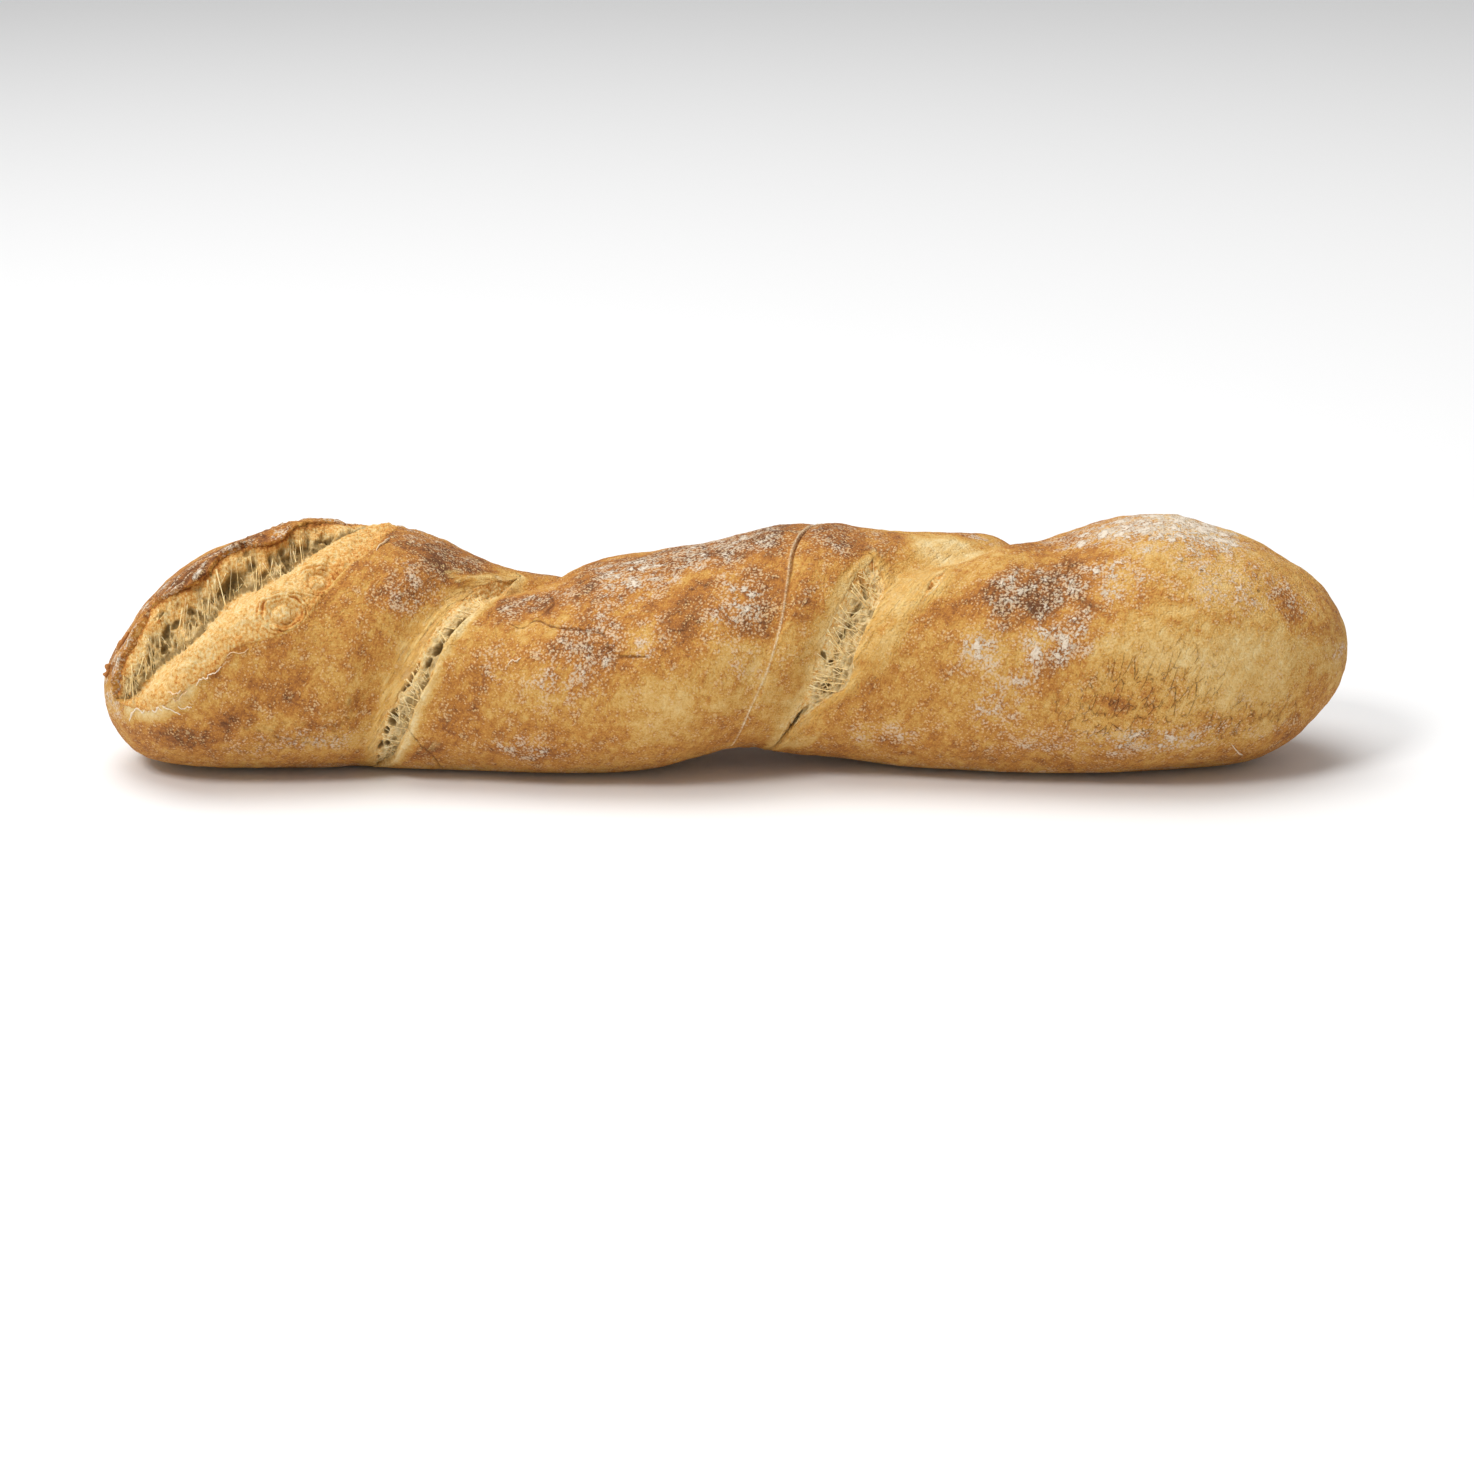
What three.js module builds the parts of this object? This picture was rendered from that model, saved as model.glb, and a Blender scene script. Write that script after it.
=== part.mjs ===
// A twisted white bread loaf: one thick strip of dough, rolled in flour, turned about its own length and
// baked on a flat stone. It is one closed solid. A helical crease winds round it, and the crust has
// burst open in an ear on the left-hand end.
//
// Millimetres and degrees. +X runs along the loaf towards its round end, -Y is the front, +Z is up. The
// origin is the middle of the loaf's box, on the plane that the loaf rests on.
import * as THREE from "three";
import { mergeVertices } from "three/addons/utils/BufferGeometryUtils.js";

// Driving dimensions.
const LENGTH = 390;
const HALF_LENGTH = LENGTH / 2;
const MEAN_RADIUS = 41;

// Where the skin reaches at each place along the loaf, as [x, reach] points on a smooth line. The
// turning of the dough makes the crown, the front, the sole and the back swell one after another. The
// sole dips below zero where the weight of the dough has pressed it flat.
const CROWN = [
  [-195, 50], [-180, 68], [-150, 73.5], [-125, 74.5], [-97, 72.5], [-62, 57.5], [-38, 63], [2, 69.5],
  [29, 75.5], [54, 71], [74, 70], [88, 72.5], [103, 69.5], [120, 75], [142, 78], [195, 73],
];
const SOLE = [
  [-195, 3], [-160, 0], [-52, -3], [-25, -1.5], [3, 5], [30, 2.5], [62, -1.5], [105, -3], [195, 2],
];
const FRONT = [
  [-195, -37], [-150, -42], [-98, -38], [-50, -43], [-12, -45], [36, -36], [125, -45], [195, -41],
];
const BACK = [[-195, 36], [-90, 46], [-30, 38], [64, 46], [117, 42], [195, 42]];
const AXIS_HEIGHT = [[-195, 26], [-155, 34], [-60, 34], [0, 35], [120, 37], [195, 38]];

// How long the rounding of each end is, seen from above, at the crown and at the sole.
const LEFT_END = { side: 36, crown: 75, sole: 17 };
const RIGHT_END = { side: 62, crown: 70, sole: 38 };

// 2 would make each quarter of a cross-section an ellipse. Dough that has spread is a little squarer.
const SQUARENESS = 2.15;

// The creases, as [x, angle] points on the skin. The angle is 0 at the front, 90 at the crown, 180 at
// the back and 270 at the sole, and it keeps counting as a crease winds on.
const TWIST_CREASE = {
  path: [
    [-142, -185], [-112, -62], [-99, -1], [-65, 86], [-28, 182], [24, 342], [52, 414], [82, 452],
    [122, 560],
  ],
  depth: 6.5,
  width: 7.5,
  fade: 26,
};
const SKIN_SEAM = {
  path: [[-1, -66], [13, 3], [19, 47], [24, 82], [46, 170]],
  depth: 1.6,
  width: 3.5,
  fade: 12,
};
const EAR_SLIT = {
  path: [[-180, 8], [-163, 34], [-146, 51], [-131, 68], [-118, 95]],
  depth: 7,
  width: 7.5,
  fade: 16,
};
const CREASES = [TWIST_CREASE, SKIN_SEAM, EAR_SLIT];

// How much of the creases' depth the weight of the dough has pressed out again on the sole.
const PRESSED_OUT = 0.85;

// The lip of crust that stands up along the upper side of the ear's slit, and the swelling that pushed
// up along its lower side: how high each is, how wide, and how far from the slit's middle.
const EAR_LIP = { height: 3.5, width: 6, offset: 13 };
const EAR_SWELLING = { height: 3, width: 10, offset: -14 };

// The skin's mesh. Its lines turn from along the ear's slit to along the creases. Its rings crowd
// together towards the tips, where the skin turns over quickly.
const SEGMENTS_AROUND = 48;
const RINGS = 98;
const RING_CROWDING = 9;
const LINE_TURN = [[-195, -12], [-180, 8], [-150, 47], [-118, 86], [195, 466]];

// A loaf's crust, mostly golden brown under its flour.
const CRUST = { color: 0xc9924f, roughness: 0.85, metalness: 0 };

// The value at x of a smooth line through [x, value] points.
function along(line, x) {
  const last = line.length - 1;
  const reached = line.findIndex(([px]) => px > x);
  const after = reached < 0 ? last : Math.max(reached, 1);
  const before = after - 1;
  const slopeAt = (i) => {
    const [x0, v0] = line[Math.max(i - 1, 0)];
    const [x1, v1] = line[Math.min(i + 1, last)];
    return (v1 - v0) / (x1 - x0);
  };
  const [xa, va] = line[before];
  const [xb, vb] = line[after];
  const span = xb - xa;
  const t = THREE.MathUtils.clamp((x - xa) / span, 0, 1);
  const bow = t * (1 - t) * span * (slopeAt(before) * (1 - t) - slopeAt(after) * t);
  const chord = va + (vb - va) * t * t * (3 - 2 * t);
  return chord + bow;
}

// How much of its full reach the skin has, at this distance from a tip that is rounded over a length.
function rounding(distance, length) {
  const short = 1 - Math.min(distance / length, 1);
  return Math.sqrt(1 - short * short);
}

// The signed distance over the skin from a crease to a point, and how strong the crease is there: 1
// along its middle, fading to 0 past each end. It is positive on the side of greater angles.
function fromCrease({ path, fade }, x, angle) {
  const step = 0.5;
  const slope = (along(path, x + step) - along(path, x - step)) / (2 * step);
  const turn = THREE.MathUtils.euclideanModulo(angle - along(path, x) + 180, 360) - 180;
  const slant = THREE.MathUtils.degToRad(slope) * MEAN_RADIUS;
  const distance = (THREE.MathUtils.degToRad(turn) * MEAN_RADIUS) / Math.hypot(1, slant);
  const inside = Math.min(x - path[0][0], path.at(-1)[0] - x);
  return { distance, strength: THREE.MathUtils.smoothstep(inside, -fade / 3, fade) };
}

const bell = (distance, width) => Math.exp(-((distance / width) ** 2));

// How far the creases, the ear's lip and its swelling move the skin outwards at a point.
function relief(x, angle) {
  let height = 0;
  for (const crease of CREASES) {
    const { distance, strength } = fromCrease(crease, x, angle);
    height -= strength * crease.depth * bell(distance, crease.width);
  }
  const ear = fromCrease(EAR_SLIT, x, angle);
  for (const raised of [EAR_LIP, EAR_SWELLING]) {
    height += ear.strength * raised.height * bell(ear.distance - raised.offset, raised.width);
  }
  return height;
}

// A point of the skin: x along the loaf, and the angle round it.
function skinPoint(x, angle) {
  const [fromTip, end] = x < 0 ? [HALF_LENGTH + x, LEFT_END] : [HALF_LENGTH - x, RIGHT_END];
  const cosine = Math.cos(THREE.MathUtils.degToRad(angle));
  const sine = Math.sin(THREE.MathUtils.degToRad(angle));
  const axisHeight = along(AXIS_HEIGHT, x);
  const sideReach = cosine > 0 ? -along(FRONT, x) : along(BACK, x);
  const upReach = sine > 0 ? along(CROWN, x) - axisHeight : axisHeight - along(SOLE, x);
  const side = sideReach * rounding(fromTip, end.side);
  const up = upReach * rounding(fromTip, sine > 0 ? end.crown : end.sole);
  if (side === 0) return [x, 0, axisHeight];
  const across = Math.abs(cosine / side) ** SQUARENESS;
  const upright = Math.abs(sine / up) ** SQUARENESS;
  const tipFade = Math.min(side / MEAN_RADIUS, 1);
  const kept = 1 - PRESSED_OUT * THREE.MathUtils.smoothstep(-sine, 0.2, 0.8);
  const radius = (across + upright) ** (-1 / SQUARENESS) + tipFade * kept * relief(x, angle);
  return [x, -radius * cosine, Math.max(axisHeight + radius * sine, 0)];
}

// The skin is a sphere whose poles are the loaf's two tips, with each vertex moved out to its place.
function loafGeometry() {
  const ball = new THREE.SphereGeometry(1, SEGMENTS_AROUND, RINGS).rotateZ(Math.PI / 2);
  ball.deleteAttribute("normal");
  ball.deleteAttribute("uv");
  const position = ball.getAttribute("position");
  for (let i = 0; i < position.count; i += 1) {
    const polar = Math.acos(THREE.MathUtils.clamp(-position.getX(i), -1, 1));
    const share = (2 * polar) / Math.PI - 1;
    const crowded = (RING_CROWDING * share - share ** RING_CROWDING) / (RING_CROWDING - 1);
    const x = HALF_LENGTH * crowded;
    const around = Math.atan2(position.getZ(i), -position.getY(i));
    const angle = THREE.MathUtils.radToDeg(around) + along(LINE_TURN, x);
    position.setXYZ(i, ...skinPoint(x, angle));
  }
  const skin = mergeVertices(ball, 1e-3);
  skin.computeBoundingBox();
  const middle = skin.boundingBox.getCenter(new THREE.Vector3());
  skin.translate(-middle.x, -middle.y, -skin.boundingBox.min.z);
  skin.computeVertexNormals();
  return skin;
}

const loaf = new THREE.Mesh(loafGeometry(), new THREE.MeshStandardMaterial(CRUST));
loaf.name = "loaf";

const bread = new THREE.Group();
bread.add(loaf);
export default bread;
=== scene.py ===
import math
import random

import bmesh
import bpy
import numpy as np
from mathutils import Matrix, Quaternion, Vector, noise
from mathutils.bvhtree import BVHTree


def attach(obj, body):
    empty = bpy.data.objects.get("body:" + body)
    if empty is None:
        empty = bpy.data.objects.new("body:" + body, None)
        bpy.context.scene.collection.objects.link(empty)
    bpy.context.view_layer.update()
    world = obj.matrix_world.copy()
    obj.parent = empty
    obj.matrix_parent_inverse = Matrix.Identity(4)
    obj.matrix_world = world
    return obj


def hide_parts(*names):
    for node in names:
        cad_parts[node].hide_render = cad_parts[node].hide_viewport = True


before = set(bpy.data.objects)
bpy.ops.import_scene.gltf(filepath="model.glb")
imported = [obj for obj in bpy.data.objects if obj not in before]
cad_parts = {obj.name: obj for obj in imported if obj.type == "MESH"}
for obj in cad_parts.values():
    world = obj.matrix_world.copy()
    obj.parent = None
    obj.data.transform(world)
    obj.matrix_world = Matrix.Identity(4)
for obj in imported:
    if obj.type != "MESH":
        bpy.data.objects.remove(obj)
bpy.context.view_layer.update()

scene = bpy.context.scene

# ----------------------------------------------------------------------------------------------------
# The table and the light. A plain white table top carries on far behind the loaf. A large soft lamp
# hangs above it and to the left, and the white room fills in the shadows.

FLOOR_SIZE = 14.0
FLOOR_WHITE = (0.88, 0.88, 0.88, 1.0)

room = bpy.data.worlds.new("white_room")
room.use_nodes = True
room.node_tree.nodes["Background"].inputs["Color"].default_value = (1.0, 1.0, 1.0, 1.0)
room.node_tree.nodes["Background"].inputs["Strength"].default_value = 0.4
scene.world = room
scene.view_settings.view_transform = "Standard"

floor_bm = bmesh.new()
bmesh.ops.create_grid(floor_bm, x_segments=1, y_segments=1, size=FLOOR_SIZE / 2)
floor_mesh = bpy.data.meshes.new("floor")
floor_bm.to_mesh(floor_mesh)
floor_bm.free()
floor = bpy.data.objects.new("floor", floor_mesh)
scene.collection.objects.link(floor)
floor_paint = bpy.data.materials.new("white_table")
floor_paint.use_nodes = True
floor_shader = floor_paint.node_tree.nodes["Principled BSDF"]
floor_shader.inputs["Base Color"].default_value = FLOOR_WHITE
floor_shader.inputs["Roughness"].default_value = 0.7
floor_shader.inputs["Specular IOR Level"].default_value = 0.2
floor.data.materials.append(floor_paint)


def hang_lamp(name, place, size, watts):
    """A square soft lamp that faces the loaf."""
    lamp = bpy.data.lights.new(name, "AREA")
    lamp.size = size
    lamp.energy = watts
    holder = bpy.data.objects.new(name, lamp)
    holder.location = place
    holder.rotation_euler = Vector(place).to_track_quat("Z", "Y").to_euler()
    scene.collection.objects.link(holder)


hang_lamp("overhead_lamp", (-0.5, 0.3, 2.6), size=2.2, watts=54.0)
hang_lamp("front_lamp", (-0.85, -0.95, 1.45), size=0.5, watts=16.0)

# The camera stands a little to the right of straight in front and looks slightly down, through a long
# lens, with its horizon a degree off level.

CAMERA_AIM = Vector((0.005, 0.0, 0.0064))
CAMERA_DISTANCE = 1.1
CAMERA_AZIMUTH = math.radians(3.3)
CAMERA_ELEVATION = math.radians(17.7)
CAMERA_ROLL = math.radians(1.0)

lens = bpy.data.cameras.new("camera")
lens.lens = 85.0
lens.sensor_width = 36.0
camera = bpy.data.objects.new("camera", lens)
backwards = Vector((
    math.sin(CAMERA_AZIMUTH) * math.cos(CAMERA_ELEVATION),
    -math.cos(CAMERA_AZIMUTH) * math.cos(CAMERA_ELEVATION),
    math.sin(CAMERA_ELEVATION),
))
camera.location = CAMERA_AIM + CAMERA_DISTANCE * backwards
camera.rotation_mode = "QUATERNION"
camera.rotation_quaternion = backwards.to_track_quat("Z", "Y") @ Quaternion((0, 0, 1), -CAMERA_ROLL)
scene.collection.objects.link(camera)
scene.camera = camera

# ----------------------------------------------------------------------------------------------------
# The crust. It is the outside of one strip of wheat dough that was rolled in flour and turned about its
# own length, so its skin stretched and tore along a helical crease. It baked golden where it was
# stretched thin and brown where it stood up, under the flour that still clings to it.

MILLIMETRE = 0.001
MEAN_RADIUS = 41.0
AXIS_HEIGHT = ((-195, -155, -60, 0, 120, 195), (26, 34, 34, 35, 37, 38))
SKIN_GRAIN = 1.5
SMOOTHING_ROUNDS = 6
FINER_WITHIN = (3.6, 1.7)
BACK_PATCHES = 60
TWIST_TILT = math.radians(62.0)

# Lines on the skin, as [mm along the loaf, degrees round it] points. The angle is 0 at the front, 90 at
# the crown and 180 at the back. The two edges of each opening meet at its ends.
EAR_RIM = [
    [-187, -4], [-185.5, 8], [-183.5, 18], [-180.7, 28.5], [-178.3, 35], [-176, 42.5], [-173.5, 49.5],
    [-169.3, 50.8], [-165.5, 52.2], [-161.5, 53.6], [-157.9, 56.5], [-155.4, 60.5], [-153, 65],
    [-149.4, 69], [-145.6, 72], [-140.4, 73.5], [-136.5, 76.4], [-134.2, 81], [-132.4, 87], [-130, 93],
    [-126.5, 100], [-121, 110], [-114, 119], [-106, 122],
]
EAR_SILL = [
    [-187, -4], [-176, -6], [-168, -3], [-161, 3], [-155, 6], [-149, 11], [-144, 19], [-134, 22],
    [-125, 28], [-118, 42], [-112, 56], [-106, 68], [-103, 84], [-101, 105], [-106, 122],
]
EAR_FOOT = [
    [-187, -4], [-182.5, -1], [-178.4, 4.5], [-174.8, 11.5], [-169.8, 19], [-164.5, 23.5], [-159.3, 28],
    [-155.4, 35], [-152, 43], [-148.5, 49], [-143.5, 53], [-137, 58], [-132.3, 66], [-128, 77],
    [-121.5, 86], [-116, 97], [-106, 122],
]
LEFT_TEAR_OUTER = [
    [-109, -66], [-106.5, -39], [-102, -18], [-97.5, -3.5], [-92, 10.5], [-88.5, 24], [-84.5, 35],
    [-81, 48], [-76.5, 68], [-71.5, 90], [-63, 118],
]
LEFT_TEAR_INNER = [
    [-109, -66], [-101.5, -50], [-96.5, -31], [-92.5, -17], [-89.5, -5.5], [-86, 4], [-83, 15.5],
    [-79.5, 25.5], [-75, 36], [-70.5, 47], [-68, 70], [-66, 96], [-63, 118],
]
RIGHT_TEAR_OUTER = [
    [15, -60], [21, -28], [26, -13.5], [28, -7], [29, 4.5], [32.5, 20.5], [36.5, 35.5], [40, 48],
    [44, 60], [48.5, 69],
]
RIGHT_TEAR_INNER = [
    [15, -60], [22, -36], [27.5, -23], [34.5, -11], [40, -4.5], [42.5, 3], [43.5, 12.5], [47, 27.5],
    [50.5, 41], [52.5, 55], [48.5, 69],
]
SMALL_TEAR_OUTER = [[63, 38], [64.5, 46], [67, 53], [71, 61]]
SMALL_TEAR_INNER = [[63, 38], [67, 44], [70, 51], [71, 61]]
SKIN_SEAM = [
    [-3, -62], [4.5, -42], [11, -14], [17, 7.5], [21, 28.5], [22.7, 48.5], [23.6, 68.5], [26.4, 85],
    [31, 105], [38, 135], [46, 168],
]
CRACKS = [
    [[-53, 61], [-50, 50], [-49.5, 43], [-54.5, 33]],
    [[-63.5, 32.5], [-58.5, 28.5], [-54, 33], [-49, 28.5], [-41, 26.5], [-33, 24], [-31, 18],
     [-28.3, 14.5], [-24.4, 13]],
    [[-28.3, 14.5], [-18, 14]],
    [[-94, -20], [-90.8, -30], [-87.8, -40], [-86, -58]],
    [[110, 78], [108.5, 71], [106.7, 65], [108.3, 59], [107.6, 52], [106.5, 46]],
    [[171, 96], [178, 84], [182, 68]],
    [[-20, 128], [-12, 140], [-14, 156], [-5, 170]],
    [[120, 128], [128, 141], [126, 158]],
]

# Patches of baking colour, from 0 for pale to 1 for dark, and of flour, from 0 for bare to 1 for white.
# Each is mm along, degrees round, half its length, half its width, the tilt of its length, the value.
TOAST_PATCHES = [
    (-112, 22, 20, 9, 62, 0.5), (-130, 0, 20, 8, -10, 0.64), (-167, -5, 9, 3, 10, 0.42),
    (-137, 12, 10, 5, 40, 0.66), (-129, 1, 9, 4, 40, 0.7), (-146, -10, 9, 5, 25, 0.74),
    (-164, -20, 16, 5, -12, 0.68), (-129, -26, 23, 6, 4, 0.5), (-111, 40, 14, 9, 60, 0.54),
    (-106, 18, 16, 6, 70, 0.6), (-94, 51, 13, 9, 55, 0.76), (-85, 64, 12, 8, 40, 0.78),
    (-104, 71, 9, 5, 30, 0.56), (-94, 90, 14, 14, -15, 0.84), (-88, 112, 18, 14, -15, 0.8),
    (-80, 88, 15, 15, -22, 0.86), (-69, 88, 14, 3.5, 66, 0.2), (-89, -35, 8, 4, 60, 0.74),
    (-91, 18, 20, 4, 66, 0.32), (-100, -9, 16, 4, 72, 0.38), (-111, -30, 8, 4, 60, 0.42),
    (-74, 0, 19, 7, 62, 0.66), (-73, 0, 12, 4, 62, 0.7), (-58, 18, 13, 8, 40, 0.6),
    (-30, 54, 20, 12, 20, 0.8), (-57, 48, 17, 10, 35, 0.82), (-36, 20, 17, 12, 62, 0.78),
    (-34, -11, 13, 8, 30, 0.46), (-57, -30, 14, 4, 0, 0.7), (-16, -9, 16, 11, 30, 0.38),
    (-29, 76, 19, 20, 8, 0.8), (-8, 34, 16, 11, 60, 0.72), (-4, 88, 22, 22, 6, 0.86),
    (14, 92, 13, 18, 4, 0.88), (13, 36, 14, 9, 78, 0.8), (7, 4, 13, 9, 70, 0.38),
    (37, 84, 12, 21, 0, 0.82), (30, 45, 9, 7, 70, 0.64), (28, 16, 9, 6, 75, 0.42),
    (19, -16, 9, 6, 65, 0.38), (50, 86, 10, 12, 0, 0.72), (58, 44, 14, 7, 45, 0.25),
    (73, 86, 13, 14, 20, 0.08), (51, 15, 13, 4, 60, 0.38), (26, -41, 8, 3, 45, 0.3),
    (67, 19, 19, 4, 50, 0.55), (84, 43, 16, 5, 35, 0.7), (99, 41, 18, 12, 20, 0.88),
    (108, 18, 14, 7, 30, 0.76), (87, 2, 19, 7, 45, 0.55), (57, -29, 14, 6, 10, 0.52),
    (87, -24, 19, 6, 20, 0.48), (102, 84, 14, 18, 0, 0.7), (120, 74, 13, 20, 0, 0.6),
    (131, 17, 19, 11, 0, 0.38), (147, 50, 19, 11, -20, 0.42), (162, 4, 22, 16, 0, 0.3),
    (123, -15, 25, 8, 10, 0.45), (157, -27, 19, 6, -5, 0.42), (184, 2, 11, 6, 90, 0.38),
    (173, 38, 10, 4, -75, 0.74), (121, -8, 5, 3, -20, 0.6),
]
FLOUR_PATCHES = [
    (-129, -27, 23, 6, 4, 0.46), (-188, 2, 16, 8, 80, 0.62), (-168, 47, 13, 4, 50, 0.6),
    (-148, 70, 11, 3, 25, 0.5), (-92, 52, 13, 9, 50, 0.42), (-83, 90, 15, 14, -16, 0.42),
    (-91, 83, 8, 3, -10, 0.4), (-28, 50, 16, 10, 20, 0.48), (-55, 50, 16, 9, 30, 0.55),
    (-64, 14, 8, 6, 60, 0.4), (-46, 6, 13, 9, 50, 0.5), (-37, 19, 15, 11, 62, 0.5),
    (-18, 21, 9, 8, 70, 0.45), (-26, 70, 15, 20, 10, 0.66), (-4, 84, 22, 20, 5, 0.62),
    (13, 90, 10, 17, 5, 0.58), (8, 36, 15, 10, 72, 0.6), (9, 14, 9, 8, 75, 0.4),
    (-16, -5, 19, 9, 20, 0.25), (-56, -28, 16, 6, 0, 0.5), (38, 84, 12, 17, -5, 0.46),
    (48, 82, 10, 8, -5, 0.3), (31, 44, 6, 4, 60, 0.35), (51, -30, 14, 6, 10, 0.45),
    (81, 14, 11, 8, 50, 0.58), (87, -7, 16, 8, 40, 0.5), (96, 41, 17, 12, 10, 0.56),
    (105, 18, 14, 8, 20, 0.6), (120, 44, 14, 10, 0, 0.6), (85, 110, 16, 3, -10, 0.6),
    (116, 88, 16, 15, 8, 0.66), (142, 84, 24, 20, 0, 1.0), (156, 48, 19, 16, -10, 0.5),
    (175, 42, 10, 8, -60, 0.5), (159, -5, 19, 13, 0, 0.2), (99, -27, 19, 6, 10, 0.4),
    (132, -26, 28, 7, 5, 0.55), (169, -34, 9, 4, -30, 0.4), (191, -1, 14, 3, 90, 0.5),
]

# Where the skin was stretched thin and smooth, in the same way.
STRETCHED_PATCHES = [
    (-91, 18, 22, 5, 66, 0.9), (-100, -9, 18, 4, 72, 0.9), (-112, -32, 9, 4, 62, 0.5),
    (-77, 74, 10, 4, 50, 0.8), (-69, 88, 14, 4, 66, 0.9), (58, 44, 17, 9, 45, 0.65),
    (51, 15, 14, 4, 60, 0.55), (28, 16, 12, 4, 75, 0.2), (22, -22, 14, 5, 66, 0.4),
    (72, 82, 14, 12, 50, 0.45), (-88, -30, 8, 4, 60, 0.4),
]

# Where the skin has pinholes, and where it is finely crinkled, in the same way.
PORE_PATCHES = [(132, 60, 18, 14, 0, 1.0), (152, 48, 22, 16, 0, 0.8)]
CRINKLED_PATCHES = [
    (128, -6, 26, 14, 15, 1.0), (162, -22, 20, 9, -10, 0.9), (-128, -27, 22, 5, 4, 0.5),
    (100, 44, 18, 10, 40, 0.4), (150, 150, 30, 20, 20, 0.8), (-60, 160, 40, 16, -20, 0.6),
]


def axis_height(x):
    return np.interp(x, *AXIS_HEIGHT)


def drum(size, points, seed):
    """Smooth noise of about -1 to 1 at each point, with lumps of this size."""
    away = Vector((seed * 17.31, seed * 9.17, seed * 4.77))
    return np.array([noise.noise(Vector(p) / size + away) for p in points])


def soft_step(low, high, values):
    share = np.clip((values - low) / (high - low), 0.0, 1.0)
    return share * share * (3 - 2 * share)


def bell(values, width):
    return np.exp(-((values / width) ** 2))


def fading(values, width):
    """1 up to zero, and past it less and less over this width."""
    return bell(np.maximum(values, 0), width)


def on_sheet(u, v):
    """Points on a flat sheet, for noise that is drawn out one way."""
    return np.column_stack([u, v, np.zeros(len(u))])


def smooth_line(points, steps=6):
    """More points on a Catmull-Rom curve through the given ones."""
    knots = np.array([points[0], *points, points[-1]], float)
    share = np.linspace(0, 1, steps, endpoint=False)[:, None]
    runs = []
    for a, b, c, d in zip(knots, knots[1:], knots[2:], knots[3:]):
        bend = (2 * a - 5 * b + 4 * c - d) * share**2 + (3 * b - a - 3 * c + d) * share**3
        runs.append(b + 0.5 * ((c - a) * share + bend))
    return np.vstack([*runs, knots[-1:]])


# The plain solid gives the form. Its copy is merged, rounded off and given an even grain.
crust_bm = bmesh.new()
crust_bm.from_mesh(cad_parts["loaf"].data)
bmesh.ops.remove_doubles(crust_bm, verts=crust_bm.verts, dist=1e-6)
crust_mesh = bpy.data.meshes.new("crust")
crust_bm.to_mesh(crust_mesh)
crust_bm.free()
crust = bpy.data.objects.new("crust", crust_mesh)
scene.collection.objects.link(crust)
rounding = crust.modifiers.new("rounding", "SUBSURF")
rounding.levels = rounding.render_levels = 1
even_grain = crust.modifiers.new("even_grain", "REMESH")
even_grain.mode = "VOXEL"
even_grain.voxel_size = SKIN_GRAIN * MILLIMETRE
evened = bpy.data.meshes.new_from_object(crust.evaluated_get(bpy.context.evaluated_depsgraph_get()))
crust.modifiers.clear()
crust_bm = bmesh.new()
crust_bm.from_mesh(evened)
for _ in range(SMOOTHING_ROUNDS):
    bmesh.ops.smooth_vert(crust_bm, verts=crust_bm.verts, factor=0.5, use_axis_x=True, use_axis_y=True,
                          use_axis_z=True)
bmesh.ops.triangulate(crust_bm, faces=crust_bm.faces)
skin_tree = BVHTree.FromBMesh(crust_bm)


def on_skin(x, angle):
    """The place on the plain skin at this distance along the loaf and this angle, and its normal, in mm."""
    heart = Vector((x, 0.0, axis_height(x))) * MILLIMETRE
    turn = math.radians(angle)
    outwards = Vector((0.0, -math.cos(turn), math.sin(turn)))
    place, normal, _, _ = skin_tree.ray_cast(heart, outwards)
    if place is None:
        place, normal, _, _ = skin_tree.find_nearest(heart)
    return np.array(place) / MILLIMETRE, np.array(normal)


def lay_line(points):
    """A line of the skin as places in the round, in mm."""
    return np.array([on_skin(x, angle)[0] for x, angle in smooth_line(points)])


def reach_from(points, line):
    """For each point: its distance from a line in the round, how far along the line that is from 0 to 1,
    and the step from the point to the line. Points more than 30 mm away aren't measured."""
    near_box = np.all((points > line.min(0) - 30) & (points < line.max(0) + 30), axis=1)
    if not near_box.all():
        whole = (np.full(len(points), 99.0), np.zeros(len(points)), np.full((len(points), 3), 99.0))
        if near_box.any():
            for full, part in zip(whole, reach_from(points[near_box], line)):
                full[near_box] = part
        return whole
    starts, runs = line[:-1], np.diff(line, axis=0)
    lengths = np.maximum(np.linalg.norm(runs, axis=1), 1e-6)
    travelled = np.concatenate([[0.0], np.cumsum(lengths)])
    nearest = np.full(len(points), 1e9)
    along = np.zeros(len(points))
    step = np.zeros((len(points), 3))
    for i, (start, run, length) in enumerate(zip(starts, runs, lengths)):
        offset = points - start
        share = np.clip(offset @ run / length**2, 0, 1)
        gap = share[:, None] * run - offset
        distance = np.linalg.norm(gap, axis=1)
        closer = distance < nearest
        nearest[closer] = distance[closer]
        along[closer] = (travelled[i] + share[closer] * length) / travelled[-1]
        step[closer] = gap[closer]
    return nearest, along, step


def dough_lumps(points):
    """How far the unevenness of the dough lifts the skin, in mm."""
    return 0.9 * drum(30, points, 1) + 0.45 * drum(12, points, 2) + 0.2 * drum(4.5, points, 3)


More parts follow.
